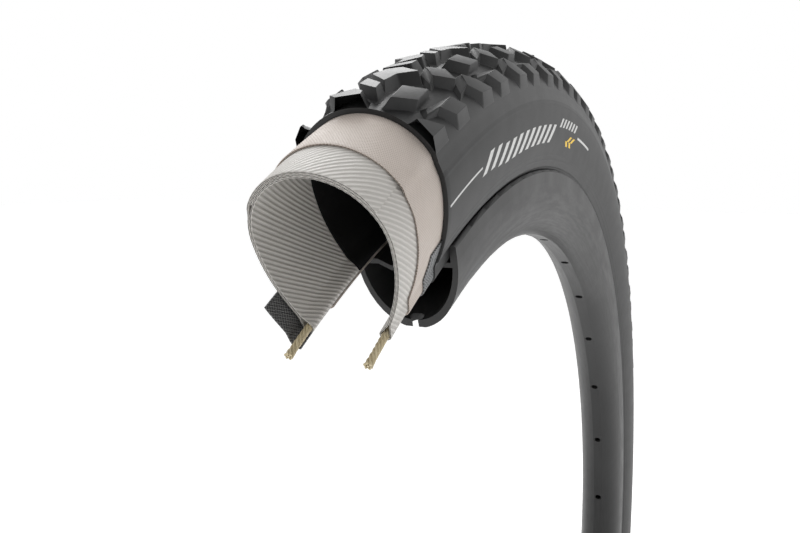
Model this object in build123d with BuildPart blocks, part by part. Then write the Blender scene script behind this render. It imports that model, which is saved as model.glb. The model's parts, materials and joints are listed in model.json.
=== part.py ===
from build123d import *
import os
from math import asin, cos, degrees, hypot, radians, sin

# A 50-622 bicycle tyre, sectioned and stepped back layer by layer, seated on its hollow rim.
# Millimetres. The origin is the wheel's centre, the wheel turns about +Y and +Z is up.
# A place on the ring is an angle about Y, from 0 at -X through 90 at +Z to 180 at +X.
# A section is drawn with its x along the radius and its y along the wheel's axis.

# ---- Driving dimensions ------------------------------------------------------------------------

BEAD_SEAT_RADIUS = 311.0        # ETRTO 622, the diameter that the beads sit on
CASING_HALF_WIDTH = 19.2        # outside of the two-ply side wall at its widest
CASING_CROWN_RADIUS = 358.7     # outside of the second layer on the centre line
FLANK_RADIUS = 43.4             # the side wall below its widest point, seen in section
FLANK_ANGLE = 26.0              # where that arc ends and the straight run to the bead starts

PLY = 0.55                      # one layer of coated cord fabric
BELT = 0.5                      # puncture belt
LINER = 0.5                     # inner liner
CHAFER = 0.45                   # rim strip
GAP = 0.08                      # room between any two layers
OPENING_RUN = 3.6               # length over which the two plies part above the bead core
BEND_RADIUS = 3.0               # where they start to part
BELT_RUN = 4.4                  # straight stretch under the flank that the belt covers
LINER_RUN = 3.0                 # and the liner
LIP_RUN = 2.4                   # and the side wall's rubber, whose lip clears the rim's flange
CHAFER_TOP = 110.0              # degrees from the crown to the rim strip's outer edge
CHAFER_RAMP = 3.0               # degrees over which the rubber steps up on to it
TOE_ANGLE = 40.0                # how far a rim strip wraps past the bottom of its bead
BEAD_CORE_RADIUS = 1.05         # bundle of twisted strands

TREAD_BASE = 1.41               # rubber under the blocks
SIDE_RUBBER = 1.34              # rubber of the side wall
OUTER_RING_RADIUS = 342.1       # centre of the round envelope of the block tops
OUTER_TUBE_RADIUS = 22.5        # radius of that envelope
TREAD_EDGE = 78.0               # degrees from the crown to the tread strip's edge
STEP_START = 62.0               # degrees from the crown, where layers step down over a ply's end
STEP_END = 72.0
TURNUP_RIGHT_END = 60.0         # the left turn-up crosses the crown and stops here
TURNUP_LEFT_END = 55.0          # the right turn-up crosses the crown and stops here
TURNUP_STEP_START = 57.0        # the left turn-up drops over that end between these two
TURNUP_STEP_END = 67.0

PITCHES = 54                    # repeats of the tread pattern round a whole tyre
BLOCK_DRAFT = 16.0              # degrees of draft on a block's sides
BLOCK_ROOT = 0.75               # how far a block reaches into the tread's base
BLOCK_MARGIN = 9.0              # least room between a block's middle and an end of the tread
PATTERN_START = 67.0            # angle on the ring where a pitch starts

RIM_HALF_WIDTH = 16.3
RIM_INNER_RADIUS = 288.0        # flat land that the spokes pull on
RIM_LAND_HALF_WIDTH = 3.3
FLANGE_HEIGHT = 5.6             # above the bead seat
FLANGE_THICKNESS = 2.1
RIM_WALL = 1.7
RIM_SPOKE_WALL = 2.4
RIM_BED = 1.6
WELL_DEPTH = 2.0                # the bed's drop centre
WELL_HALF_WIDTH = 5.0
RIM_SHOULDER = 0.4              # height over the bead seat where the outer wall turns straight
SPOKE_HOLES = 32
SPOKE_HOLE_LENGTH = 4.6         # across the rim
SPOKE_HOLE_WIDTH = 4.0
FIRST_SPOKE_HOLE = 69.375       # this one is cut open by the section
BEAD_CLEARANCE = 0.1            # between a bead's rim strip and the seat under it

# Where each layer starts on the ring, and where they all end.
BEAD_CORE_START = 59.8
CHAFER_LEFT_START = 60.8
CARCASS_START = 61.8
BELT_START = 63.8
CHAFER_RIGHT_START = 65.5
RUBBER_START = 66.8
RIM_START = 69.0
RING_END = 380.0

# ---- Worked out from them ----------------------------------------------------------------------

wide_radius = CASING_CROWN_RADIUS - CASING_HALF_WIDTH   # ring radius of the widest point
flank_centre = CASING_HALF_WIDTH - FLANK_RADIUS         # width of the flank arc's centre
stack = 2 * PLY + GAP                                   # the two plies of a side wall
crown_step = PLY + GAP                                  # the third ply on the crown
outer_ply = -PLY / 2
inner_ply = -stack + PLY / 2
top_ply = GAP + PLY / 2
belt_side = GAP + BELT / 2
liner_offset = -stack - GAP - LINER / 2
rubber_inside = GAP + BELT + GAP
chafer_offset = GAP + BELT + GAP + CHAFER / 2

flank_dir = (-cos(radians(FLANK_ANGLE)), -sin(radians(FLANK_ANGLE)))
flank_out = (-sin(radians(FLANK_ANGLE)), cos(radians(FLANK_ANGLE)))
bead_radius = BEAD_SEAT_RADIUS + BEAD_CLEARANCE + CHAFER + GAP + PLY + GAP + BEAD_CORE_RADIUS
flank_low_radius = wide_radius - (FLANK_RADIUS - stack / 2) * sin(radians(FLANK_ANGLE))
bead_run = (flank_low_radius - bead_radius) / cos(radians(FLANK_ANGLE))
fold_radius = BEAD_CORE_RADIUS + GAP + PLY / 2
chafer_radius = BEAD_CORE_RADIUS + GAP + PLY + GAP + CHAFER / 2
opening_start = bead_run - OPENING_RUN


def cut_plane(angle):
    """The plane of a section at an angle on the ring: x is the radius, y the wheel's axis."""
    a = radians(angle)
    return Plane(origin=(0, 0, 0), x_dir=(-cos(a), 0, sin(a)), z_dir=(-sin(a), 0, -cos(a)))


def on_casing(angle, offset):
    """A point on the casing line in section, at an angle from the crown (+ is to the left)."""
    side = 1 if angle >= 0 else -1
    turn = radians(abs(angle))
    if abs(angle) <= 90:
        reach = CASING_HALF_WIDTH + offset
        return (wide_radius + reach * cos(turn), side * reach * sin(turn))
    reach = FLANK_RADIUS + offset
    return (wide_radius + reach * cos(turn), side * (flank_centre + reach * sin(turn)))


def heading(angle):
    """The casing line's direction there, towards larger angles."""
    a = radians(angle)
    return (-sin(a), cos(a))


def below_flank(side, run, offset):
    """A point on the straight run under the flank, this far along it and off the casing line."""
    start = on_casing(90 + FLANK_ANGLE, offset)
    return (start[0] + run * flank_dir[0], side * (start[1] + run * flank_dir[1]))


def step(first_angle, first_offset, last_angle, last_offset):
    """A smooth change of offset between two angles, in the order of growing angle."""
    Spline(
        on_casing(first_angle, first_offset),
        on_casing(last_angle, last_offset),
        tangents=(heading(first_angle), heading(last_angle)),
    )


def step_back(first_angle, first_offset, last_angle, last_offset):
    """The same in the order of falling angle."""
    step(last_angle, last_offset, first_angle, first_offset)


def crown_arc(first_angle, last_angle, offset):
    """The casing line over the crown, between two angles no more than 90 from it."""
    middle = (first_angle + last_angle) / 2
    ThreePointArc(on_casing(first_angle, offset), on_casing(middle, offset),
                  on_casing(last_angle, offset))


def flank_part(side, first, last, offset):
    """A stretch of the flank arc, between two angles from the crown."""
    ThreePointArc(on_casing(side * first, offset), on_casing(side * (first + last) / 2, offset),
                  on_casing(side * last, offset))


def flank_arc(side, offset):
    """The casing line from the widest point down to the end of the flank arc."""
    flank_part(side, 90, 90 + FLANK_ANGLE, offset)


def stepped_line(crown_offset, side_offset, run):
    """The whole casing line, bead to bead, higher over the crown than on the sides."""
    for side in (-1, 1):
        Line(below_flank(side, 0, side_offset), below_flank(side, run, side_offset))
        flank_arc(side, side_offset)
        crown_arc(side * 90, side * STEP_END, side_offset)
    step(-STEP_END, side_offset, -STEP_START, crown_offset)
    crown_arc(-STEP_START, STEP_START, crown_offset)
    step(STEP_START, crown_offset, STEP_END, side_offset)


def bead_centre(side):
    """Centre of a bead core in section."""
    return below_flank(side, bead_run, -stack / 2)


def touch_bead(side, run, offset, radius, outer):
    """Where a line from the casing's straight run touches a circle round the bead core."""
    centre = bead_centre(side)
    start = below_flank(side, run, offset)
    gap = (centre[0] - start[0], centre[1] - start[1])
    lean = asin(radius / hypot(*gap))
    turn = -lean if (side > 0) == outer else lean
    aim = (gap[0] * cos(turn) - gap[1] * sin(turn), gap[0] * sin(turn) + gap[1] * cos(turn))
    return (start[0] + aim[0] * cos(lean), start[1] + aim[1] * cos(lean))


def run_to_bead(side, offset, radius, outer):
    """A strip's line from the flank's end to the circle that it follows round the bead core."""
    FilletPolyline(
        below_flank(side, 0, offset),
        below_flank(side, opening_start, offset),
        touch_bead(side, opening_start, offset, radius, outer),
        radius=BEND_RADIUS,
    )


def under_bead(side, radius):
    """The lowest point of a circle round the bead core, seen along the straight run."""
    centre = bead_centre(side)
    return (centre[0] + radius * flank_dir[0], centre[1] + side * radius * flank_dir[1])


def ring(start, section):
    """Turn a section's faces about the wheel's axis, from where the layer starts to the ring's end."""
    revolve(section.sketch, axis=Axis.Y, revolution_arc=RING_END - start)


def block_plane(angle, across):
    """The plane that touches the block tops' envelope: x round the ring, y across it, z outwards."""
    a = radians(angle)
    b = across / OUTER_TUBE_RADIUS
    reach = OUTER_RING_RADIUS + OUTER_TUBE_RADIUS * cos(b)
    return Plane(
        origin=(-reach * cos(a), OUTER_TUBE_RADIUS * sin(b), reach * sin(a)),
        x_dir=(sin(a), 0, cos(a)),
        z_dir=(-cos(a) * cos(b), sin(b), sin(a) * cos(b)),
    )


def block_height(across):
    """How far a block's top stands above the tread's base at this place across the tread."""
    b = across / OUTER_TUBE_RADIUS
    radial = OUTER_RING_RADIUS + OUTER_TUBE_RADIUS * cos(b) - wide_radius
    return hypot(radial, OUTER_TUBE_RADIUS * sin(b)) - CASING_HALF_WIDTH - tread_outside


# ---- The tread pattern -------------------------------------------------------------------------
# One pitch of the pattern, right-hand half. Each block is the outline of its top: distance round
# the ring from the pitch's start, then distance across from the centre line (- is to the right).
# The left-hand half is the same, mirrored and moved on by half a pitch.

tread_outside = crown_step + rubber_inside + TREAD_BASE
side_outside = rubber_inside + SIDE_RUBBER
outer_radius = OUTER_RING_RADIUS + OUTER_TUBE_RADIUS
pitch_angle = 360 / PITCHES
pitch_length = radians(pitch_angle) * outer_radius

BLOCKS = {
    "hook": [(11.6, -2.9), (16.9, 2.8), (22.8, 1.2), (25.6, -2.1), (22.5, -8.0), (18.6, -3.3)],
    "link": [(4.4, -3.6), (9.2, -2.8), (13.8, 2.7), (9.0, 2.8)],
    "centre": [(1.6, -8.9), (10.4, -8.6), (15.3, -14.1), (7.0, -14.4)],
    "transition": [(25.9, -11.3), (28.7, -7.8), (34.6, -11.7), (31.8, -16.3)],
    "shoulder_long": [(34.5, -20.6), (31.5, -17.2), (38.0, -16.6), (46.0, -19.6), (48.5, -23.2)],
    "shoulder_short": [(11.0, -19.2), (21.4, -19.6), (26.1, -23.4), (18.1, -23.4)],
}


def middle(outline):
    """The mean of an outline's corners."""
    return (sum(p[0] for p in outline) / len(outline), sum(p[1] for p in outline) / len(outline))


def tread_block(outline, place, across):
    """One block: its top lies on the envelope, and its sides are drafted out down to its root."""
    plane = block_plane(place, across)
    with BuildPart() as block:
        with BuildSketch(plane):
            Polygon(*outline, align=None)
        extrude(amount=-block_height(across) - BLOCK_ROOT)
        walls = [face for face in block.faces() if abs(face.normal_at().dot(plane.z_dir)) < 0.5]
        draft(walls, plane, BLOCK_DRAFT)
    return block.part


def repeats(outline, side):
    """A block's copies all round the tread, without any that would hang over an end of it."""
    centre = middle(outline)
    across = -side * centre[1]
    shift = 0 if side < 0 else pitch_length / 2
    corners = [(p[0] - centre[0], -side * (p[1] - centre[1])) for p in outline]
    first = PATTERN_START + degrees((centre[0] + shift) / outer_radius)
    block = tread_block(corners, first, across)
    room = degrees(BLOCK_MARGIN / outer_radius)
    turns = range(-1, PITCHES)
    kept = [t for t in turns if RUBBER_START + room < first + pitch_angle * t < RING_END - room]
    return [block.rotate(Axis.Y, pitch_angle * turn) for turn in kept]


# ---- Tread -------------------------------------------------------------------------------------

with BuildSketch(cut_plane(RUBBER_START)) as tread_section:
    with BuildLine():
        crown_arc(-TREAD_EDGE, -STEP_END, rubber_inside)
        step(-STEP_END, rubber_inside, -STEP_START, crown_step + rubber_inside)
        crown_arc(-STEP_START, STEP_START, crown_step + rubber_inside)
        step(STEP_START, crown_step + rubber_inside, STEP_END, rubber_inside)
        crown_arc(STEP_END, TREAD_EDGE, rubber_inside)
        Line(on_casing(TREAD_EDGE, rubber_inside), on_casing(TREAD_EDGE, side_outside))
        crown_arc(TREAD_EDGE, STEP_END, side_outside)
        step_back(STEP_END, side_outside, STEP_START, tread_outside)
        crown_arc(STEP_START, -STEP_START, tread_outside)
        step_back(-STEP_START, tread_outside, -STEP_END, side_outside)
        crown_arc(-STEP_END, -TREAD_EDGE, side_outside)
        Line(on_casing(-TREAD_EDGE, side_outside), on_casing(-TREAD_EDGE, rubber_inside))
    make_face()

with BuildPart() as tread:
    ring(RUBBER_START, tread_section)
    add([copy for outline in BLOCKS.values() for side in (-1, 1) for copy in repeats(outline, side)],
        clean=False)
tread.part.label = "tread"

# ---- Side walls --------------------------------------------------------------------------------


def side_section(side):
    """Section of one side wall's rubber, from the tread's edge to the lip over the rim."""
    over_chafer = rubber_inside + CHAFER + GAP
    with BuildSketch(cut_plane(RUBBER_START)) as section:
        with BuildLine():
            crown_arc(side * TREAD_EDGE, side * 90, rubber_inside)
            flank_part(side, 90, CHAFER_TOP - CHAFER_RAMP, rubber_inside)
            step(side * (CHAFER_TOP - CHAFER_RAMP), rubber_inside, side * CHAFER_TOP, over_chafer)
            flank_part(side, CHAFER_TOP, 90 + FLANK_ANGLE, over_chafer)
            Line(below_flank(side, 0, over_chafer), below_flank(side, LIP_RUN, over_chafer))
            Line(below_flank(side, LIP_RUN, over_chafer), below_flank(side, LIP_RUN, side_outside))
            Line(below_flank(side, LIP_RUN, side_outside), below_flank(side, 0, side_outside))
            flank_part(side, 90 + FLANK_ANGLE, 90, side_outside)
            crown_arc(side * 90, side * TREAD_EDGE, side_outside)
            Line(on_casing(side * TREAD_EDGE, side_outside),
                 on_casing(side * TREAD_EDGE, rubber_inside))
        make_face()
    return section


with BuildPart() as sidewall_left:
    ring(RUBBER_START, side_section(1))
sidewall_left.part.label = "sidewall_left"

with BuildPart() as sidewall_right:
    ring(RUBBER_START, side_section(-1))
sidewall_right.part.label = "sidewall_right"

# ---- Puncture belt and inner liner -------------------------------------------------------------

with BuildSketch(cut_plane(BELT_START)) as belt_section:
    with BuildLine():
        stepped_line(crown_step + belt_side, belt_side, BELT_RUN)
    trace(line_width=BELT)
with BuildPart() as puncture_belt:
    ring(BELT_START, belt_section)
puncture_belt.part.label = "puncture_belt"

with BuildSketch(cut_plane(RUBBER_START)) as liner_section:
    with BuildLine():
        for side in (-1, 1):
            flank_arc(side, liner_offset)
            Line(below_flank(side, 0, liner_offset), below_flank(side, LINER_RUN, liner_offset))
        crown_arc(-90, 90, liner_offset)
    trace(line_width=LINER)
with BuildPart() as inner_liner:
    ring(RUBBER_START, liner_section)
inner_liner.part.label = "inner_liner"

# ---- Carcass -----------------------------------------------------------------------------------
# One ply of cord fabric. It lies bead to bead, folds outwards round each bead core, and both
# turn-ups cross the crown: the right one first, then the left one on top of it.

with BuildSketch(cut_plane(CARCASS_START)) as carcass_section:
    with BuildLine():
        crown_arc(-90, 90, inner_ply)
        for side in (-1, 1):
            flank_arc(side, inner_ply)
            run_to_bead(side, inner_ply, fold_radius, False)
            ThreePointArc(
                touch_bead(side, opening_start, inner_ply, fold_radius, False),
                under_bead(side, fold_radius),
                touch_bead(side, opening_start, outer_ply, fold_radius, True),
            )
            run_to_bead(side, outer_ply, fold_radius, True)
            flank_arc(side, outer_ply)
        crown_arc(-90, TURNUP_LEFT_END, outer_ply)
        crown_arc(90, TURNUP_STEP_END, outer_ply)
        step_back(TURNUP_STEP_END, outer_ply, TURNUP_STEP_START, top_ply)
        crown_arc(TURNUP_STEP_START, -TURNUP_RIGHT_END, top_ply)
    trace(line_width=PLY)
with BuildPart() as carcass_ply:
    ring(CARCASS_START, carcass_section)
carcass_ply.part.label = "carcass_ply"

# ---- Bead cores and rim strips -----------------------------------------------------------------


def bead_core_section(side):
    """Section of a bead core."""
    with BuildSketch(cut_plane(BEAD_CORE_START)) as section:
        with Locations(bead_centre(side)):
            Circle(BEAD_CORE_RADIUS)
    return section


def chafer_section(side, start):
    """Section of a rim strip: from the flank, down the outside and under the bead to its toe."""
    toe = bead_centre(side)
    turn = radians(FLANK_ANGLE + TOE_ANGLE)
    with BuildSketch(cut_plane(start)) as section:
        with BuildLine():
            flank_part(side, CHAFER_TOP, 90 + FLANK_ANGLE, chafer_offset)
            run_to_bead(side, chafer_offset, chafer_radius, True)
            ThreePointArc(
                touch_bead(side, opening_start, chafer_offset, chafer_radius, True),
                under_bead(side, chafer_radius),
                (toe[0] - chafer_radius * cos(turn), toe[1] - side * chafer_radius * sin(turn)),
            )
        trace(line_width=CHAFER)
    return section


with BuildPart() as bead_core_left:
    ring(BEAD_CORE_START, bead_core_section(1))
bead_core_left.part.label = "bead_core_left"

with BuildPart() as bead_core_right:
    ring(BEAD_CORE_START, bead_core_section(-1))
bead_core_right.part.label = "bead_core_right"

with BuildPart() as chafer_left:
    ring(CHAFER_LEFT_START, chafer_section(1, CHAFER_LEFT_START))
chafer_left.part.label = "chafer_left"

with BuildPart() as chafer_right:
    ring(CHAFER_RIGHT_START, chafer_section(-1, CHAFER_RIGHT_START))
chafer_right.part.label = "chafer_right"

# ---- Rim ---------------------------------------------------------------------------------------

rim_shoulder_radius = BEAD_SEAT_RADIUS + RIM_SHOULDER
flange_top_radius = BEAD_SEAT_RADIUS + FLANGE_HEIGHT
rim_depth = rim_shoulder_radius - RIM_INNER_RADIUS
land_angle = asin(RIM_LAND_HALF_WIDTH / RIM_HALF_WIDTH)
rim_semi_depth = rim_depth / cos(land_angle)
cavity_half_width = RIM_HALF_WIDTH - RIM_WALL
cavity_top = BEAD_SEAT_RADIUS - RIM_BED
seat_width = RIM_HALF_WIDTH - FLANGE_THICKNESS

with BuildSketch() as rim_cavity:
    with Locations((rim_shoulder_radius, 0)):
        Ellipse(rim_depth - RIM_SPOKE_WALL, cavity_half_width)
    with Locations((cavity_top, 0)):
        Rectangle(rim_depth, RIM_HALF_WIDTH * 2, align=(Align.MIN, Align.CENTER), mode=Mode.SUBTRACT)
    with BuildLine():
        Polyline(
            (cavity_top, WELL_HALF_WIDTH + WELL_DEPTH * 2),
            (cavity_top - WELL_DEPTH, WELL_HALF_WIDTH),
            (cavity_top - WELL_DEPTH, -WELL_HALF_WIDTH),
            (cavity_top, -WELL_HALF_WIDTH - WELL_DEPTH * 2),
            close=True,
        )
    make_face(mode=Mode.SUBTRACT)

with BuildSketch(cut_plane(RIM_START)) as rim_section:
    with Locations((rim_shoulder_radius, 0)):
        Ellipse(rim_semi_depth, RIM_HALF_WIDTH)
    with Locations(((RIM_INNER_RADIUS + rim_shoulder_radius) / 2, 0)):
        Rectangle(rim_depth, RIM_HALF_WIDTH * 2, mode=Mode.INTERSECT)
    with Locations((rim_shoulder_radius, 0)):
        Rectangle(
            flange_top_radius - rim_shoulder_radius,
            RIM_HALF_WIDTH * 2,
            align=(Align.MIN, Align.CENTER),
        )
    with BuildLine():
        Polyline(
            (flange_top_radius, seat_width),
            (BEAD_SEAT_RADIUS, seat_width),
            (BEAD_SEAT_RADIUS, WELL_HALF_WIDTH + WELL_DEPTH * 2),
            (BEAD_SEAT_RADIUS - WELL_DEPTH, WELL_HALF_WIDTH),
            (BEAD_SEAT_RADIUS - WELL_DEPTH, -WELL_HALF_WIDTH),
            (BEAD_SEAT_RADIUS, -WELL_HALF_WIDTH - WELL_DEPTH * 2),
            (BEAD_SEAT_RADIUS, -seat_width),
            (flange_top_radius, -seat_width),
            close=True,
        )
    make_face(mode=Mode.SUBTRACT)
    fillet(rim_section.vertices().group_by(Axis.X)[-1], FLANGE_THICKNESS * 0.45)
    add(rim_cavity.sketch, mode=Mode.SUBTRACT)

with BuildPart() as rim:
    ring(RIM_START, rim_section)
    hole_pitch = 360 / SPOKE_HOLES
    hole_angles = [FIRST_SPOKE_HOLE + hole_pitch * turn for turn in range(SPOKE_HOLES)]
    hole_planes = []
    for angle in hole_angles:
        if angle < RING_END:
            a = radians(angle)
            base = RIM_INNER_RADIUS - RIM_SPOKE_WALL
            hole_planes.append(Plane(origin=(-base * cos(a), 0, base * sin(a)), x_dir=(0, 1, 0),
                                     z_dir=(-cos(a), 0, sin(a))))
    with BuildSketch(*hole_planes):
        SlotOverall(SPOKE_HOLE_LENGTH, SPOKE_HOLE_WIDTH)
    extrude(amount=RIM_SPOKE_WALL * 4, mode=Mode.SUBTRACT)
rim.part.label = "rim"

# ---- Export ------------------------------------------------------------------------------------

pieces = [
    tread,
    sidewall_left,
    sidewall_right,
    puncture_belt,
    carcass_ply,
    inner_liner,
    bead_core_left,
    bead_core_right,
    chafer_left,
    chafer_right,
    rim,
]
os.makedirs("parts", exist_ok=True)
for piece in pieces:
    export_step(piece.part, f"parts/{piece.part.label}.step")
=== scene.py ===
"""The looks of the sectioned bicycle tyre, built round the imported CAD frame.

Lengths are in millimetres until a mesh is made, and MM turns them into metres.
A place on the ring is an angle about Y: 0 at -X, 90 at +Z, 180 at +X. A section is drawn with
its radius first and its width, along the wheel's axis, second.
"""

import json
from math import asin, atan2, ceil, cos, degrees, hypot, pi, radians, sin, tan

import bmesh
import bpy
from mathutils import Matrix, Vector, noise


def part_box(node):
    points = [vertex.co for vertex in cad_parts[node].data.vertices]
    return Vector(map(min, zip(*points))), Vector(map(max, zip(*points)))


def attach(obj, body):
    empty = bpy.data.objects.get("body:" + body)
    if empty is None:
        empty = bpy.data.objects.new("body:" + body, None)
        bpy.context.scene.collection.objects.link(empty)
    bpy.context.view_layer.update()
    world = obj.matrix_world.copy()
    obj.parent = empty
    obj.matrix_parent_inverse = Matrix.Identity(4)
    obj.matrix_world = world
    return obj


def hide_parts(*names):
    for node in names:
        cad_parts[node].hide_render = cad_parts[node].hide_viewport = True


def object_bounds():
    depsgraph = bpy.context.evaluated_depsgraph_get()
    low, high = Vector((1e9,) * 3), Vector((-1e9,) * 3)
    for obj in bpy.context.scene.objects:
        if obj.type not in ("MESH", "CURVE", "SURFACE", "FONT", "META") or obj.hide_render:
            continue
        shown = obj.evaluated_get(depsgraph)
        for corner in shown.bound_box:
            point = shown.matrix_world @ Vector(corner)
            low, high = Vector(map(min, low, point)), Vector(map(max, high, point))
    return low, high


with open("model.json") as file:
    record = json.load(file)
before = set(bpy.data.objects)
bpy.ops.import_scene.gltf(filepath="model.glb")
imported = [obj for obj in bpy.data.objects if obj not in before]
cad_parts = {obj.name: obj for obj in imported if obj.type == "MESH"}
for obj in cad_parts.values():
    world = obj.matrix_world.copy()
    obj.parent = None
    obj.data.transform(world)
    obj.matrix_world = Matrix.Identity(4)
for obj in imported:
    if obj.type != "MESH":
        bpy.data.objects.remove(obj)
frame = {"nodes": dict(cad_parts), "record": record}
cad_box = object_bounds()
MM = 0.001

# ---- Sizes read from the frame -----------------------------------------------------------------


def top(node):
    """A ring's largest radius, in millimetres."""
    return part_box(node)[1].z / MM


def half_width(node):
    """A centred ring's half width, in millimetres."""
    low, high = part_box(node)
    return max(abs(low.y), abs(high.y)) / MM


mounts = {mount["name"]: mount for mount in frame["record"]["mounts"]}
RIM_INNER_RADIUS = mounts["wheel_opening"]["dims"]["r_mm"]
FLANGE_TOP = top("rim")

# ---- Sizes of the layers -----------------------------------------------------------------------
# They are the CAD's, apart from SKIRT, SHOULDER_START and the toe angles, which are the scene's own.

PLY = 0.55
BELT = 0.5
LINER = 0.5
CHAFER = 0.45
GAP = 0.08
TREAD_BASE = 1.41
SIDE_RUBBER = 1.34
BEAD_CORE_RADIUS = 1.05
FLANK_RADIUS = 43.4
FLANK_ANGLE = 26.0
TREAD_EDGE = 78.0
STEP_START = 62.0
STEP_END = 72.0
TURNUP_RIGHT_END = 60.0
TURNUP_LEFT_END = 55.0
TURNUP_STEP_START = 57.0
TURNUP_STEP_END = 67.0
OPENING_RUN = 3.6
LIP_RUN = 2.4
SKIRT = 0.35
CHAFER_TOP = 110.0
CHAFER_RAMP = 3.0
BELT_TOE_ANGLE = 20.0
LINER_TOE_ANGLE = 62.0
SKIRT_TOE_ANGLE = -62.0
FLANGE_HEIGHT = 5.6
BEAD_CLEARANCE = 0.1
ENVELOPE_RING = 342.1
ENVELOPE_RADIUS = 22.5
PITCHES = 54
PATTERN_START = 67.0
BLOCK_MARGIN = 9.0
BLOCK_DRAFT = 16.0
SHOULDER_START = 18.0

BEAD_CORE_START = 59.8
CHAFER_LEFT_START = 60.8
CARCASS_START = 61.8
BELT_START = 63.8
CHAFER_RIGHT_START = 65.5
RUBBER_START = 66.8
RING_END = 380.0

crown_step = PLY + GAP
stack = 2 * PLY + GAP
outer_ply = -PLY / 2
inner_ply = -stack + PLY / 2
top_ply = GAP + PLY / 2
CASING_HALF_WIDTH = half_width("carcass_ply")
wide_radius = top("carcass_ply") - crown_step - CASING_HALF_WIDTH
flank_centre = CASING_HALF_WIDTH - FLANK_RADIUS
rubber_inside = GAP + BELT + GAP
tread_outside = crown_step + rubber_inside + TREAD_BASE
side_outside = rubber_inside + SIDE_RUBBER
over_chafer = rubber_inside + CHAFER + GAP
chafer_offset = GAP + BELT + GAP + CHAFER / 2
crown_length = CASING_HALF_WIDTH * pi / 2
flank_length = FLANK_RADIUS * radians(FLANK_ANGLE)
flank_dir = (-cos(radians(FLANK_ANGLE)), -sin(radians(FLANK_ANGLE)))
outer_radius = ENVELOPE_RING + ENVELOPE_RADIUS
pitch_angle = 360 / PITCHES
pitch_length = radians(pitch_angle) * outer_radius

# ---- Places ------------------------------------------------------------------------------------


def place(angle, radius, width):
    """A point of the ring, in metres."""
    a = radians(angle)
    return Vector((-radius * cos(a), width, radius * sin(a))) * MM


def length_to(angle):
    """The casing line's length from the crown to an angle from it."""
    if angle <= 90:
        return CASING_HALF_WIDTH * radians(angle)
    return crown_length + FLANK_RADIUS * radians(angle - 90)


def line_point(along, offset):
    """A point in section: this far along the casing line from the crown, and this far off it."""
    side = 1 if along >= 0 else -1
    run = abs(along)
    if run <= crown_length:
        turn = run / CASING_HALF_WIDTH
        reach = CASING_HALF_WIDTH + offset
        return (wide_radius + reach * cos(turn), side * reach * sin(turn))
    turn = pi / 2 + min(run - crown_length, flank_length) / FLANK_RADIUS
    reach = FLANK_RADIUS + offset
    beyond = max(0.0, run - crown_length - flank_length)
    return (
        wide_radius + reach * cos(turn) + beyond * flank_dir[0],
        side * (flank_centre + reach * sin(turn) + beyond * flank_dir[1]),
    )


def ease(value, first, last):
    """0 at first, 1 at last, smooth between them."""
    t = min(1.0, max(0.0, (value - first) / (last - first)))
    return t * t * (3 - 2 * t)


def spread(first, last, spacing):
    """Evenly spaced values from first to last, about this far apart."""
    count = max(1, ceil(abs(last - first) / spacing))
    return [first + (last - first) * i / count for i in range(count + 1)]


def over_step(along, crown, side):
    """An offset that is higher over the crown than on the side walls."""
    return crown + (side - crown) * ease(abs(along), length_to(STEP_START), length_to(STEP_END))


side_end = length_to(90 + FLANK_ANGLE)
bead_seat = FLANGE_TOP - FLANGE_HEIGHT
fold_radius = BEAD_CORE_RADIUS + GAP + PLY / 2
liner_radius = fold_radius + PLY / 2 + GAP + LINER / 2
belt_radius = fold_radius + PLY / 2 + GAP + BELT / 2
chafer_radius = belt_radius + BELT / 2 + GAP + CHAFER / 2
skirt_radius = chafer_radius + CHAFER / 2 + GAP
bead_radius = bead_seat + BEAD_CLEARANCE + chafer_radius + CHAFER / 2
bead_run = (line_point(side_end, -stack / 2)[0] - bead_radius) / cos(radians(FLANK_ANGLE))
opening = side_end + bead_run - OPENING_RUN


def bead_centre(side):
    """Centre of a bead core in section."""
    return line_point(side * (side_end + bead_run), -stack / 2)


def touch_bead(side, offset, radius, outer):
    """Where a line from the opening between the plies touches a circle round the bead core."""
    centre = bead_centre(side)
    start = line_point(side * opening, offset)
    gap = (centre[0] - start[0], centre[1] - start[1])
    lean = asin(radius / hypot(*gap))
    turn = -lean if (side > 0) == outer else lean
    aim = (gap[0] * cos(turn) - gap[1] * sin(turn), gap[0] * sin(turn) + gap[1] * cos(turn))
    return (start[0] + aim[0] * cos(lean), start[1] + aim[1] * cos(lean))


def under_bead(side, radius, angle):
    """A point of a circle round a bead core, this far past its underside towards the inside."""
    centre = bead_centre(side)
    turn = radians(FLANK_ANGLE + angle)
    return (centre[0] - radius * cos(turn), centre[1] - side * radius * sin(turn))


def past_under(side, point):
    """How far a point lies past a bead core's underside, in degrees towards the inside."""
    centre = bead_centre(side)
    turn = degrees(atan2(-side * (point[1] - centre[1]), centre[0] - point[0])) - FLANK_ANGLE
    return (turn + 180) % 360 - 180


def to_bead(side, offset, radius, outer, toe_angle):
    """A strip's line from the flank down to its circle round the bead core, and on to its toe."""
    touch = touch_bead(side, offset, radius, outer)
    points = on_line(side * side_end, side * opening, offset) + [touch]
    return points + [
        under_bead(side, radius, angle) for angle in spread(past_under(side, touch), toe_angle, 4)
    ]


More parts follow.
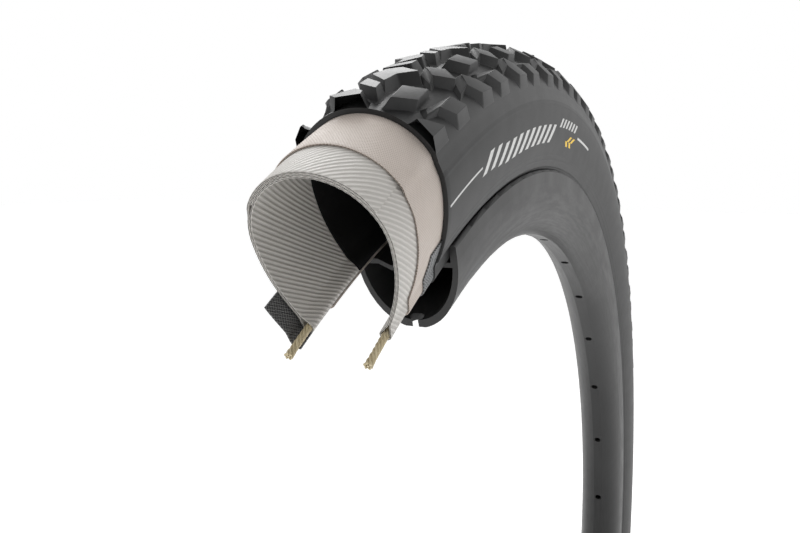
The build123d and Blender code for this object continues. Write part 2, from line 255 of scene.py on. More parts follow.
def even_line(points, spacing, softness=6):
    """A line's points, its corners eased, spaced evenly: (x, y, normal x, normal y, run)."""
    fine = [points[0]]
    for first, last in zip(points, points[1:]):
        gap = hypot(last[0] - first[0], last[1] - first[1])
        for share in spread(0, 1, 0.15 / max(gap, 0.01))[1:]:
            fine.append((first[0] + (last[0] - first[0]) * share,
                         first[1] + (last[1] - first[1]) * share))
    for _ in range(softness):
        eased = [
            ((a[0] + b[0] + c[0]) / 3, (a[1] + b[1] + c[1]) / 3)
            for a, b, c in zip(fine, fine[1:], fine[2:])
        ]
        fine = [fine[0]] + eased + [fine[-1]]
    runs = [0.0]
    for first, last in zip(fine, fine[1:]):
        runs.append(runs[-1] + hypot(last[0] - first[0], last[1] - first[1]))
    line = []
    at = 0
    for run in spread(0, runs[-1], spacing):
        while at < len(runs) - 2 and runs[at + 1] < run:
            at += 1
        share = (run - runs[at]) / max(1e-6, runs[at + 1] - runs[at])
        x = fine[at][0] + (fine[at + 1][0] - fine[at][0]) * share
        y = fine[at][1] + (fine[at + 1][1] - fine[at][1]) * share
        back = fine[max(0, at - 1)]
        ahead = fine[min(len(fine) - 1, at + 2)]
        size = hypot(ahead[0] - back[0], ahead[1] - back[1])
        line.append((x, y, -(ahead[1] - back[1]) / size, (ahead[0] - back[0]) / size, run))
    return line


def on_line(first, last, offset, spacing=0.5):
    """Points at an offset from the casing line. The offset may be a function of the place."""
    offset_at = offset if callable(offset) else lambda along: offset
    return [line_point(along, offset_at(along)) for along in spread(first, last, spacing)]


# ---- Meshes ------------------------------------------------------------------------------------

UV = "run"


class Shell:
    """Vertices and faces in the making, with a place on the unrolled strip for each vertex."""

    def __init__(self):
        self.verts = []
        self.runs = []
        self.faces = []
        self.cut_faces = set()

    def vert(self, point, run=(0.0, 0.0)):
        """Add a vertex and return its number."""
        self.verts.append(point)
        self.runs.append(run)
        return len(self.verts) - 1

    def loop_strip(self, first, second):
        """Faces between two closed loops of vertices."""
        for i in range(len(first)):
            j = (i + 1) % len(first)
            self.faces.append((first[i], first[j], second[j], second[i]))

    def sweep(self, angles, section):
        """A layer swept round the ring. section(angle) gives (near, far, run) along the layer."""
        rows = []
        for angle in angles:
            pairs = section(angle)
            u = radians(angle) * wide_radius
            row = [self.vert(place(angle, *near), (u, run)) for near, _, run in pairs]
            row += [self.vert(place(angle, *far), (u, run)) for _, far, run in reversed(pairs)]
            rows.append(row)
        for first, second in zip(rows, rows[1:]):
            self.loop_strip(first, second)
        for row in (rows[0], rows[-1]):
            size = len(row)
            for i in range(size // 2 - 1):
                self.cut_faces.add(len(self.faces))
                self.faces.append((row[i], row[i + 1], row[size - 2 - i], row[size - 1 - i]))

    def tube(self, centres, radius, sides):
        """A round tube along a line of points, in metres, with closed ends."""
        rows = []
        run = 0.0
        normal = None
        for i, centre in enumerate(centres):
            ahead = centres[min(i + 1, len(centres) - 1)]
            back = centres[max(i - 1, 0)]
            tangent = (ahead - back).normalized()
            normal = tangent.orthogonal() if normal is None else normal - tangent * normal.dot(tangent)
            normal.normalize()
            across = tangent.cross(normal)
            run += (centre - back).length / MM
            size = radius(i) if callable(radius) else radius
            row = []
            for k in range(sides):
                turn = 2 * pi * k / sides
                out = normal * cos(turn) + across * sin(turn)
                row.append(self.vert(centre + out * size * MM, (run, k / sides)))
            rows.append(row)
        for first, second in zip(rows, rows[1:]):
            self.loop_strip(first, second)
        for row in (rows[0], rows[-1]):
            self.cut_faces.add(len(self.faces))
            self.faces.append(tuple(row))

    def build(self, name, material, node, smooth=40.0, cut=None):
        """The finished object, tied to the frame."""
        mesh = bpy.data.meshes.new(name)
        mesh.from_pydata(self.verts, [], self.faces)
        mesh.materials.append(material)
        if cut:
            mesh.materials.append(cut)
            for face in self.cut_faces:
                mesh.polygons[face].material_index = 1
        layer = mesh.uv_layers.new(name=UV)
        corner_verts = [0] * len(mesh.loops)
        mesh.loops.foreach_get("vertex_index", corner_verts)
        layer.data.foreach_set("uv", [value for i in corner_verts for value in self.runs[i]])
        bm = bmesh.new()
        bm.from_mesh(mesh)
        bmesh.ops.recalc_face_normals(bm, faces=bm.faces)
        limit = radians(smooth)
        for face in bm.faces:
            face.smooth = True
        for edge in bm.edges:
            edge.smooth = len(edge.link_faces) == 2 and edge.calc_face_angle(0) < limit
        bm.to_mesh(mesh)
        bm.free()
        piece = bpy.data.objects.new(name, mesh)
        bpy.context.scene.collection.objects.link(piece)
        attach(piece, "root")
        if node:
            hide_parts(node)
        return piece


END_ROUND = 0.15


def end_round(angle, start):
    """How much a layer's faces draw in where its ends are rounded, at this angle on the ring."""
    run = min(angle - start, RING_END - angle) * radians(1) * wide_radius
    short = max(0.0, 1 - run / END_ROUND)
    return END_ROUND * (1 - (1 - short * short) ** 0.5)


def strip_section(line, thickness, start, relief=None):
    """A layer's section for Shell.sweep: a line, thickened, its faces moved by relief(u, run)."""
    half = thickness / 2

    def section(angle):
        u = radians(angle) * wide_radius
        draw_in = end_round(angle, start)
        pairs = []
        for x, y, nx, ny, run in line:
            swell = half - draw_in + (relief(u, run) if relief else 0.0)
            pairs.append(((x - nx * swell, y - ny * swell), (x + nx * swell, y + ny * swell), run))
        return pairs

    return section


def full_line(crown, side, radius, outer, toe_angle):
    """A layer's line from one bead's toe over the crown to the other's."""
    def offset(along):
        return over_step(along, crown, side)

    right = to_bead(-1, side, radius, outer, toe_angle)
    left = to_bead(1, side, radius, outer, toe_angle)
    return right[::-1] + on_line(-side_end, side_end, offset)[1:-1] + left


def ring_angles(start, fine_end, fine, coarse=1.6):
    """Angles round the ring: close together up to fine_end, wider apart after it."""
    return spread(start, fine_end, fine)[:-1] + spread(fine_end, RING_END, coarse)


def layer_angles(start, fine_end, fine, coarse=1.6):
    """The same for a layer with rounded ends."""
    edge = degrees(END_ROUND / wide_radius)
    shares = (0.0, 0.1, 0.4, 1.0)
    middle = ring_angles(start + edge, fine_end, fine, coarse)[:-1]
    return ([start + edge * share for share in shares[:-1]] + middle
            + [RING_END - edge * share for share in shares[::-1]])

# ---- Materials ---------------------------------------------------------------------------------


class Nodes:
    """A material's node tree, with short ways to add to it."""

    def __init__(self, name):
        self.material = bpy.data.materials.new(name)
        self.material.use_nodes = True
        self.tree = self.material.node_tree
        self.shader = self.tree.nodes["Principled BSDF"]

    def add(self, kind, inputs=None, output=0, **settings):
        """Add a node and return one of its outputs. An input is a value or another's output."""
        made = self.tree.nodes.new(kind)
        for key, value in settings.items():
            setattr(made, key, value)
        for key, value in (inputs or {}).items():
            self.put(made.inputs[key], value)
        return made.outputs[output]

    def put(self, socket, value):
        """Set or link an input."""
        if isinstance(value, bpy.types.NodeSocket):
            self.tree.links.new(value, socket)
        else:
            socket.default_value = value

    def math(self, operation, first, second=0.0, third=0.0):
        """One step of arithmetic."""
        return self.add("ShaderNodeMath", {0: first, 1: second, 2: third}, operation=operation)

    def total(self, *values):
        """The sum of some values."""
        result = values[0]
        for value in values[1:]:
            result = self.math("ADD", result, value)
        return result

    def ramp(self, value, low, high, to_low=0.0, to_high=1.0):
        """A value taken smoothly from one range to another."""
        return self.add(
            "ShaderNodeMapRange",
            {"Value": value, "From Min": low, "From Max": high, "To Min": to_low, "To Max": to_high},
            interpolation_type="SMOOTHSTEP",
        )

    def mix(self, share, first, second):
        """A mix of two colours."""
        made = self.tree.nodes.new("ShaderNodeMix")
        made.data_type = "RGBA"
        self.put(made.inputs[0], share)
        self.put(made.inputs[6], first)
        self.put(made.inputs[7], second)
        return made.outputs[2]

    def noise(self, scale, detail=3.0, roughness=0.5, vector=None):
        """Noise over the object, its scale given as repeats per millimetre."""
        if vector is None:
            vector = self.add("ShaderNodeTexCoord", output=3)
            scale = scale / MM
        return self.add(
            "ShaderNodeTexNoise",
            {"Vector": vector, "Scale": scale, "Detail": detail, "Roughness": roughness},
        )

    def strip(self):
        """The place on the unrolled strip, in millimetres: round the ring and across it."""
        uv = self.add("ShaderNodeUVMap", uv_map=UV)
        split = self.tree.nodes.new("ShaderNodeSeparateXYZ")
        self.tree.links.new(uv, split.inputs[0])
        return split.outputs[0], split.outputs[1]

    def turned(self, u, v, angle):
        """The same place, along and across a direction on the strip."""
        a = radians(angle)
        along = self.total(self.math("MULTIPLY", u, cos(a)), self.math("MULTIPLY", v, sin(a)))
        across = self.total(self.math("MULTIPLY", u, -sin(a)), self.math("MULTIPLY", v, cos(a)))
        return along, across

    def vector(self, x, y, z=0.0):
        """A vector from its parts."""
        return self.add("ShaderNodeCombineXYZ", {0: x, 1: y, 2: z})

    def wave(self, place, pitch):
        """A wave from 0 in a groove to 1 on a ridge."""
        turn = self.math("MULTIPLY", place, 2 * pi / pitch)
        return self.math("MULTIPLY_ADD", self.math("COSINE", turn), 0.5, 0.5)

    def bump(self, height, depth, strength=1.0, normal=None):
        """A bump map, its depth in millimetres."""
        inputs = {"Height": height, "Distance": depth * MM, "Strength": strength}
        if normal is not None:
            inputs["Normal"] = normal
        return self.add("ShaderNodeBump", inputs)

    def finish(self, color, roughness, normal, **constants):
        """Link the shader up, set its constant inputs and return the material."""
        self.put(self.shader.inputs["Base Color"], color)
        self.put(self.shader.inputs["Roughness"], roughness)
        self.put(self.shader.inputs["Normal"], normal)
        for name, value in constants.items():
            self.shader.inputs[name.replace("_", " ")].default_value = value
        return self.material


def gray(level, warmth=0.0):
    """A nearly neutral colour."""
    return (level * (1 + warmth), level, level * (1 - warmth), 1.0)


def rubber(name, dark, light, roughness, grain):
    """Moulded black rubber: cloudy bloom, fine grain and a slightly uneven gloss."""
    n = Nodes(name)
    bloom = n.noise(0.03, 4.0, 0.5)
    speck = n.noise(2.2, 2.0)
    color = n.mix(n.ramp(bloom, 0.3, 0.7), gray(dark, -0.01), gray(light, -0.01))
    color = n.mix(n.ramp(speck, 0.6, 0.85, 0.0, 0.3), color, gray(light * 1.5))
    gloss = n.ramp(n.noise(0.1, 3.0), 0.3, 0.7, roughness - 0.01, roughness + 0.015)
    normal = n.bump(n.noise(4.0, 2.0), 0.012 * grain)
    return n.finish(color, gloss, normal, Specular_IOR_Level=0.36)


CORD_ANGLE = 45.0
CORD_PITCH = 1.26
CORD_HEIGHT = 0.05


def cord_fabric(name):
    """Coated cords lying side by side on the bias, with the yarn's twist and dark grooves."""
    n = Nodes(name)
    u, v = n.strip()
    along, across = n.turned(u, v, CORD_ANGLE)
    drift = n.math("MULTIPLY_ADD", n.noise(0.02, 2.0), 0.5, -0.25)
    ridge = n.wave(n.total(across, drift), CORD_PITCH)
    fibre = n.noise(1.0, 3.0, 0.6, n.vector(n.math("MULTIPLY", along, 0.5), n.math("MULTIPLY", across, 5.0)))
    twist = n.wave(n.total(along, n.math("MULTIPLY", across, 1.3)), 0.62)
    color = n.mix(n.ramp(ridge, 0.3, 1.0), (0.43, 0.412, 0.386, 1), (0.58, 0.56, 0.53, 1))
    color = n.mix(n.ramp(fibre, 0.35, 0.75, 0.0, 0.3), color, (0.38, 0.36, 0.335, 1))
    height = n.total(n.math("MULTIPLY", ridge, 0.6), n.math("MULTIPLY", fibre, 0.3),
                     n.math("MULTIPLY", twist, 0.08))
    return n.finish(color, n.ramp(fibre, 0.3, 0.7, 0.42, 0.6), n.bump(height, 0.16),
                    Specular_IOR_Level=0.4)


def cut_edge(name, coat, thread, pitch):
    """The cut edge of a fabric: paler thread ends in a darker coat."""
    n = Nodes(name)
    u, v = n.strip()
    ends = n.wave(v, pitch)
    speck = n.noise(3.0, 3.0)
    color = n.mix(n.ramp(ends, 0.4, 1.0), coat, thread)
    color = n.mix(n.ramp(speck, 0.45, 0.7, 0.0, 0.4), color, coat)
    return n.finish(color, n.ramp(speck, 0.3, 0.7, 0.6, 0.75), n.bump(speck, 0.08))


def net_fabric(name):
    """The belt: a fine net of square-woven threads, bonded in a warm pale coat."""
    n = Nodes(name)
    u, v = n.strip()
    along, across = n.turned(u, v, 40.0)
    drift = n.math("MULTIPLY_ADD", n.noise(0.04, 2.0), 0.6, -0.3)
    warp = n.wave(n.total(along, drift), 0.6)
    weft = n.wave(n.total(across, drift), 0.6)
    knot = n.math("MULTIPLY", warp, weft)
    thread = n.math("MAXIMUM", warp, weft)
    cloud = n.noise(0.08, 4.0)
    color = n.mix(n.ramp(thread, 0.25, 0.85), (0.41, 0.352, 0.31, 1), (0.545, 0.485, 0.44, 1))
    color = n.mix(n.ramp(cloud, 0.35, 0.7, 0.0, 0.3), color, (0.47, 0.405, 0.36, 1))
    height = n.total(n.math("MULTIPLY", thread, 0.5), n.math("MULTIPLY", knot, 0.3),
                     n.math("MULTIPLY", n.noise(2.0), 0.25))
    return n.finish(color, n.ramp(cloud, 0.3, 0.7, 0.5, 0.65), n.bump(height, 0.07),
                    Specular_IOR_Level=0.35)


def woven_strip(name, dark, light):
    """A rim strip: square-woven monofilament, each thread passing over and under its neighbours."""
    n = Nodes(name)
    u, v = n.strip()
    along, across = n.turned(u, v, 45.0)
    pitch = 0.8
    warp = n.wave(along, pitch)
    weft = n.wave(across, pitch)
    over = n.wave(n.total(along, across), pitch * 2)
    cloth = n.mix(n.ramp(over, 0.35, 0.65), n.ramp(warp, 0.1, 0.9), n.ramp(weft, 0.1, 0.9))
    level = n.add("ShaderNodeRGBToBW", {0: cloth})
    speck = n.noise(1.2, 3.0)
    color = n.mix(level, dark, light)
    color = n.mix(n.ramp(speck, 0.4, 0.75, 0.0, 0.4), color, gray(0.05))
    return n.finish(color, n.ramp(level, 0, 1, 0.6, 0.42), n.bump(level, 0.12),
                    Specular_IOR_Level=0.5)


def strand_fibre(name):
    """Golden aramid yarn: fine filaments wound round each strand."""
    n = Nodes(name)
    u, v = n.strip()
    lay = n.total(n.math("MULTIPLY", v, 7.0), n.math("MULTIPLY", u, 0.6))
    filament = n.noise(1.0, 4.0, 0.65, n.vector(n.math("MULTIPLY", lay, 3.0), n.math("MULTIPLY", u, 0.35)))
    color = n.mix(n.ramp(filament, 0.3, 0.7), (0.33, 0.25, 0.12, 1), (0.72, 0.63, 0.42, 1))
    cloud = n.noise(0.25, 3.0)
    color = n.mix(n.ramp(cloud, 0.5, 0.8, 0.0, 0.4), color, (0.80, 0.74, 0.58, 1))
    return n.finish(color, n.ramp(filament, 0.3, 0.7, 0.4, 0.6), n.bump(filament, 0.1),
                    Sheen_Weight=0.15)


def matte_liner(name):
    """Black butyl film: matte, with a faint cloth print from the drum."""
    n = Nodes(name)
    u, v = n.strip()
    weave = n.math("MULTIPLY", n.wave(u, 1.1), n.wave(v, 1.1))
    cloud = n.noise(0.06, 4.0)
    color = n.mix(n.ramp(cloud, 0.3, 0.7), gray(0.0028), gray(0.0055))
    height = n.total(n.math("MULTIPLY", weave, 0.3), n.noise(1.2, 3.0))
    return n.finish(color, n.ramp(cloud, 0.3, 0.7, 0.75, 0.9), n.bump(height, 0.05),
                    Specular_IOR_Level=0.2)


def matte_carbon(name):
    """Unidirectional carbon under a satin clear coat, with faint lapped patches."""
    n = Nodes(name)
    coords = n.add("ShaderNodeTexCoord", output=3)
    split = n.tree.nodes.new("ShaderNodeSeparateXYZ")
    n.tree.links.new(coords, split.inputs[0])
    turn = n.math("ARCTAN2", split.outputs[2], n.math("MULTIPLY", split.outputs[0], -1.0))
    run = n.math("MULTIPLY", turn, RIM_INNER_RADIUS)
    width = n.math("DIVIDE", split.outputs[1], MM)
    lean = n.total(run, n.math("MULTIPLY", width, 1.4))
    patch = n.noise(1.0, 1.0, 0.4, n.vector(n.math("MULTIPLY", lean, 0.012), 0.0))
    tow = n.noise(1.0, 3.0, 0.6, n.vector(n.math("MULTIPLY", lean, 0.05), n.math("MULTIPLY", width, 1.6)))
    color = n.mix(n.ramp(patch, 0.42, 0.58), gray(0.018), gray(0.026))
    color = n.mix(n.ramp(tow, 0.35, 0.7, 0.0, 0.3), color, gray(0.038))
    gloss = n.ramp(tow, 0.3, 0.7, 0.38, 0.46)
    return n.finish(color, gloss, n.bump(n.noise(0.8, 3.0), 0.012), Specular_IOR_Level=0.26)


def print_ink(name, color):
    """Screen-printed ink: opaque, slightly worn and speckled."""
    n = Nodes(name)
    worn = n.noise(1.6, 5.0, 0.65)
    shade = tuple(part * 0.72 for part in color[:3]) + (1.0,)
    tint = n.mix(n.ramp(worn, 0.5, 0.85, 0.0, 0.7), color, shade)
    return n.finish(tint, n.ramp(worn, 0.3, 0.7, 0.45, 0.6), n.bump(worn, 0.02))


tread_rubber = rubber("tread_rubber", 0.011, 0.015, 0.44, 1.0)
side_rubber = rubber("sidewall_rubber", 0.011, 0.014, 0.48, 0.5)
ply_fabric = cord_fabric("ply_fabric")
ply_edge = cut_edge("ply_edge", (0.05, 0.048, 0.044, 1), (0.17, 0.165, 0.15, 1), 1.8)
belt_edge = cut_edge("belt_edge", (0.11, 0.08, 0.06, 1), (0.3, 0.25, 0.21, 1), 0.9)
belt_fabric = net_fabric("belt_fabric")
liner_rubber = matte_liner("liner_rubber")
bead_fibre = strand_fibre("bead_fibre")
# The two rim strips are one dark grey woven fabric made in two copies: the left strip's darker colours are
# painted shade, the right strip's paler, slightly blue colours are painted light.
chafer_shaded_copy = woven_strip("chafer_fabric_painted_shade", gray(0.028), gray(0.16))
chafer_lit_copy = woven_strip("chafer_fabric_painted_light", gray(0.075, -0.03), gray(0.25, -0.03))
rim_carbon = matte_carbon("rim_carbon")
white_ink = print_ink("white_ink", (0.62, 0.62, 0.61, 1))
yellow_ink = print_ink("yellow_ink", (0.85, 0.55, 0.03, 1))

# ---- Carcass -----------------------------------------------------------------------------------


def cord_relief(u, run):
    """The ridge that the cords make in a face of the fabric."""
    a = radians(CORD_ANGLE)
    across = -u * sin(a) + run * cos(a)
    return CORD_HEIGHT * (0.5 * cos(2 * pi * across / CORD_PITCH) - 0.5)


def bead_fold(side):
    """The fold round a bead core, from the outside to the inside."""
    outside = touch_bead(side, outer_ply, fold_radius, True)
    inside = touch_bead(side, inner_ply, fold_radius, False)
    turns = spread(past_under(side, outside), past_under(side, inside), 4)
    return [under_bead(side, fold_radius, turn) for turn in turns]


def ply_line(spacing):
    """The ply in section, from one turn-up's end to the other's."""
    points = on_line(length_to(TURNUP_LEFT_END), -opening, outer_ply)
    points += bead_fold(-1)
    points += on_line(-opening, opening, inner_ply)
    points += bead_fold(1)[::-1]

    def climb(along):
        share = ease(along, length_to(TURNUP_STEP_START), length_to(TURNUP_STEP_END))
        return top_ply + (outer_ply - top_ply) * share

    points += on_line(opening, length_to(TURNUP_STEP_END), outer_ply)
    points += on_line(length_to(TURNUP_STEP_END), -length_to(TURNUP_RIGHT_END), climb)
    return even_line(points, spacing)


SKIVE_RUN = 5.0
SKIVE_DROP = 0.36
CORD_FINE_END = CARCASS_START + 6.4


def skive(line):
    """The ply's line with its last end pressed down on the layer under it."""
    end = line[-1][4]
    pressed = []
    for x, y, nx, ny, run in line:
        drop = SKIVE_DROP * ease(run, end - SKIVE_RUN, end)
        pressed.append((x - nx * drop, y - ny * drop, nx, ny, run))
    return pressed


FINE = 0.4
fine_line = skive(ply_line(FINE))
angles = layer_angles(CARCASS_START, CORD_FINE_END, degrees(FINE / wide_radius))
shell = Shell()
shell.sweep([a for a in angles if a < CORD_FINE_END + 0.01],
            strip_section(fine_line, PLY, CARCASS_START, cord_relief))
shell.sweep([a for a in angles if a > CORD_FINE_END - 0.01],
            strip_section(ply_line(1.6), PLY, CARCASS_START))
shell.build("carcass_ply_fabric", ply_fabric, "carcass_ply", cut=ply_edge)

# ---- Belt, liner -------------------------------------------------------------------------------


belt_line = even_line(full_line(crown_step + GAP + BELT / 2, GAP + BELT / 2, belt_radius, True,
                                BELT_TOE_ANGLE), 0.7)
shell = Shell()
shell.sweep(layer_angles(BELT_START, BELT_START + 3.6, 0.2), strip_section(belt_line, BELT, BELT_START))
shell.build("puncture_belt_fabric", belt_fabric, "puncture_belt", cut=belt_edge)

liner_offset = -stack - GAP - LINER / 2
liner_line = even_line(full_line(liner_offset, liner_offset, liner_radius, False, LINER_TOE_ANGLE), 1.0)
shell = Shell()
shell.sweep(layer_angles(RUBBER_START, RUBBER_START + 4, 0.4),
            strip_section(liner_line, LINER, RUBBER_START))
shell.build("inner_liner_film", liner_rubber, "inner_liner")

# ---- Bead cores --------------------------------------------------------------------------------

STRANDS = 6
STRAND_LAY = 11.0
STRAND_RADIUS = 0.37
STRAND_SIDES = 8
STRAND_FINE = 12.0
SPREAD_LENGTH = 3.5
SPREAD_SHARE = 0.35


def bead_core(name, side):
    """Six strands twisted round a seventh, slightly open at the cut end."""
    radius, width = bead_centre(side)
    shell = Shell()
    angles = spread(BEAD_CORE_START, BEAD_CORE_START + STRAND_FINE, 0.12)[:-1]
    angles += spread(BEAD_CORE_START + STRAND_FINE, RING_END, 0.5)
    for strand in range(STRANDS + 1):
        centres = []
        for angle in angles:
            run = radians(angle - BEAD_CORE_START) * radius
            open_up = 1 + SPREAD_SHARE * max(0.0, 1 - run / SPREAD_LENGTH) ** 2
            reach = 0.0 if strand == STRANDS else (BEAD_CORE_RADIUS - STRAND_RADIUS) * open_up
            turn = 2 * pi * (strand / STRANDS + run / STRAND_LAY)
            centres.append(place(angle, radius + reach * cos(turn), width + reach * sin(turn)))
        shell.tube(centres, STRAND_RADIUS, STRAND_SIDES)
    return shell.build(name + "_strands", bead_fibre, name, smooth=60)


bead_core("bead_core_left", 1)
bead_core("bead_core_right", -1)

# ---- Rim strips --------------------------------------------------------------------------------


VISIBLE_TOE_ANGLE = -30.0


def chafer(name, side, start, material):
    """A rim strip: down the flank, round the outside of the bead and under it to its toe."""
    points = on_line(side * length_to(CHAFER_TOP), side * side_end, chafer_offset)[:-1]
    points += to_bead(side, chafer_offset, chafer_radius, True, VISIBLE_TOE_ANGLE)
    shell = Shell()
    section = strip_section(even_line(points, 0.4), CHAFER, start)
    shell.sweep(layer_angles(start, start + 6, 0.15), section)
    return shell.build(name + "_weave", material, name)


# The left strip gets the copy darkened with painted shade, the right strip the copy lightened with painted
# light.
chafer("chafer_left", 1, CHAFER_LEFT_START, chafer_shaded_copy)
chafer("chafer_right", -1, CHAFER_RIGHT_START, chafer_lit_copy)

# ---- Tread -------------------------------------------------------------------------------------

# One pitch of the right-hand half. A corner is its distance round the ring from the pitch's
# start, its distance across from the centre line and, on a ramp, its drop below the block's top.
BLOCKS = {
    "hook": [(11.4, -3.0), (16.9, 3.0), (22.9, 1.4), (25.9, -2.1), (22.6, -8.3), (18.5, -3.5)],
    "link": [(4.2, -3.8), (9.2, -3.0), (14.0, 2.9), (8.9, 3.0)],
    "centre": [(1.2, -9.0), (10.5, -8.4), (15.6, -14.2), (6.9, -14.6)],
    "transition": [(25.8, -11.4), (28.8, -7.5), (34.8, -11.6), (31.6, -16.4)],
    "shoulder_long": [(35.4, -19.2), (37.3, -15.8), (44.0, -19.2), (49.4, -23.9), (40.7, -23.7)],
    "shoulder_short": [(12.2, -19.6), (21.3, -19.2), (25.9, -23.8), (17.3, -24.0)],
    "ramp_transition": [(28.8, -7.5), (26.0, -11.4), (23.6, -11.8, 1.9), (24.6, -8.2, 0.9)],
    "ramp_long": [(37.3, -15.8), (35.4, -19.2), (30.6, -20.2, 1.5), (32.8, -15.4, 0.8)],
    "ramp_short": [(21.3, -19.2), (12.4, -19.6), (7.4, -18.6, 1.6), (8.4, -17.4, 1.4)],
}


def neighbours(points):
    """Each point of a closed outline with the ones before and after it."""
    return zip(points[-1:] + points[:-1], points, points[1:] + points[:1])


def offset_outline(points, reach):
    """An outline moved outwards by the same distance all round."""
    area = sum(back.x * here.y - here.x * back.y for back, here, _ in neighbours(points))
    side = 1 if area > 0 else -1
    moved = []
    for back, here, ahead in neighbours(points):
        before = (here - back).to_2d().normalized()
        after = (ahead - here).to_2d().normalized()
        first = Vector((before.y, -before.x)) * side
        lean = first + Vector((after.y, -after.x)) * side
        lean = lean / max(0.35, lean.dot(first)) * reach
        moved.append(here + Vector((lean.x, lean.y, 0)))
    return moved


def round_corners(points, radius, steps=3):
    """An outline with each corner rounded."""
    rounded = []
    for back, here, ahead in neighbours(points):
        to_back = back - here
        to_ahead = ahead - here
        room = min(radius, 0.4 * to_back.length, 0.4 * to_ahead.length)
        first = here + to_back.normalized() * room
        last = here + to_ahead.normalized() * room
        for i in range(steps + 1):
            share = i / steps
            rounded.append(
                first * (1 - share) ** 2 + here * 2 * share * (1 - share) + last * share * share
            )
    return rounded


def block_height(across):
    """How far a block's top stands above the tread's base at this place across the tread."""
    b = across / ENVELOPE_RADIUS
    radial = ENVELOPE_RING + ENVELOPE_RADIUS * cos(b) - wide_radius
    return hypot(radial, ENVELOPE_RADIUS * sin(b)) - CASING_HALF_WIDTH - tread_outside


def on_base(point, lift):
    """A point moved square to the casing until it is this far above the tread's base."""
    point = point / MM
    reach = hypot(point.x, point.z)
    out = Vector((reach - wide_radius, point.y))
    along = CASING_HALF_WIDTH * atan2(abs(out.y), out.x)
    offset = over_step(along, tread_outside, side_outside) + lift
    out = out.normalized() * (CASING_HALF_WIDTH + offset)
    scale = (wide_radius + out.x) / reach
    return Vector((point.x * scale, out.y, point.z * scale)) * MM


TOP_LAYERS = [(-0.26, 0.0), (-0.08, 0.03), (0.0, 0.16)]
FLARE = [(0.0, 0.5), (0.12, 0.16), (0.38, -0.04), (0.7, -0.4)]
CORNER_ROUND = 0.45
OUTER_CORNER = 1.4
SHOULDER_REACH = 2.7


def add_block(shell, outline, angle, across):
    """One tread block, its top on the round envelope and its foot flared into the base."""
    a = radians(angle)
    b = across / ENVELOPE_RADIUS
    reach = ENVELOPE_RING + ENVELOPE_RADIUS * cos(b)
    origin = Vector((-reach * cos(a), ENVELOPE_RADIUS * sin(b), reach * sin(a)))
    x_dir = Vector((sin(a), 0, cos(a)))
    z_dir = Vector((-cos(a) * cos(b), sin(b), sin(a) * cos(b)))
    y_dir = z_dir.cross(x_dir)
    height = block_height(across)
    outwards = 1 if across > 0 else -1

    def at(point, depth):
        return (origin + x_dir * point.x + y_dir * point.y - z_dir * depth) * MM

    rows = []
    for grow, depth in TOP_LAYERS:
        loop = round_corners(offset_outline(outline, grow), CORNER_ROUND + grow)
        rows.append([shell.vert(at(point, depth + point.z)) for point in loop])
    foot = []
    for point in outline:
        outer = abs(across) > SHOULDER_START and point.y * outwards > OUTER_CORNER
        foot.append(point + Vector((0, outwards * SHOULDER_REACH if outer else 0, 0)))
    foot = offset_outline(foot, tan(radians(BLOCK_DRAFT)) * height)
    for grow, lift in FLARE:
        loop = round_corners(offset_outline(foot, grow), CORNER_ROUND + 0.3 + grow)
        share = 1 - max(0.0, lift) / height
        if lift > 0:
            upper = round_corners(outline, CORNER_ROUND)
            loop = [high.lerp(low, share) for high, low in zip(upper, loop)]
        rows.append([shell.vert(on_base(at(point, height - lift), lift)) for point in loop])
    for first, second in zip(rows, rows[1:]):
        shell.loop_strip(first, second)
    shell.faces.append(tuple(rows[0]))


def add_blocks(shell, outline, side):
    """A block's copies round the tread. They stop short of its far end and run past its near one."""
    corners = [Vector((*corner, 0.0)[:3]) for corner in outline]
    middle = sum(corners, Vector((0, 0, 0))) / len(corners)
    across = -side * middle.y
    shift = 0 if side < 0 else pitch_length / 2
    local = [Vector((c.x - middle.x, -side * (c.y - middle.y), c.z)) for c in corners]
    first = PATTERN_START + degrees((middle.x + shift) / outer_radius)
    room = degrees(BLOCK_MARGIN / outer_radius)
    reach = degrees(max(c.x for c in local) / outer_radius)
    for turn in range(-1, PITCHES):
        angle = first + pitch_angle * turn
        if RUBBER_START - reach < angle < RING_END - room:
            add_block(shell, local, angle, across)


def cut_at_start(shell):
    """Keep one side of a plane through the wheel's axis at the rubber's first end, and close the cut.

    It drops what lies before that end, and also all that lies more than half a turn past it.
    """
    bm = bmesh.new()
    verts = [bm.verts.new(point) for point in shell.verts]
    for face in shell.faces:
        bm.faces.new([verts[i] for i in face])
    bmesh.ops.recalc_face_normals(bm, faces=bm.faces)
    a = radians(RUBBER_START)
    whole = bm.verts[:] + bm.edges[:] + bm.faces[:]
    made = bmesh.ops.bisect_plane(bm, geom=whole, plane_co=(0, 0, 0), clear_inner=True,
                                  plane_no=(sin(a), 0, cos(a)))
    cut = [part for part in made["geom_cut"] if isinstance(part, bmesh.types.BMEdge)]
    bmesh.ops.edgeloop_fill(bm, edges=cut)
    bm.verts.index_update()
    shell.verts = [vert.co.copy() for vert in bm.verts]
    shell.runs = [(0.0, 0.0)] * len(shell.verts)
    shell.faces = [tuple(vert.index for vert in face.verts) for face in bm.faces]
    bm.free()


def base_pairs(angle):
    """The tread's section under the blocks."""
    edge = length_to(TREAD_EDGE)
    pairs = []
    for along in spread(-edge, edge, 0.9):
        near = over_step(along, crown_step + rubber_inside, rubber_inside)
        far = over_step(along, tread_outside, side_outside)
        pairs.append((line_point(along, near), line_point(along, far), along))
    return pairs


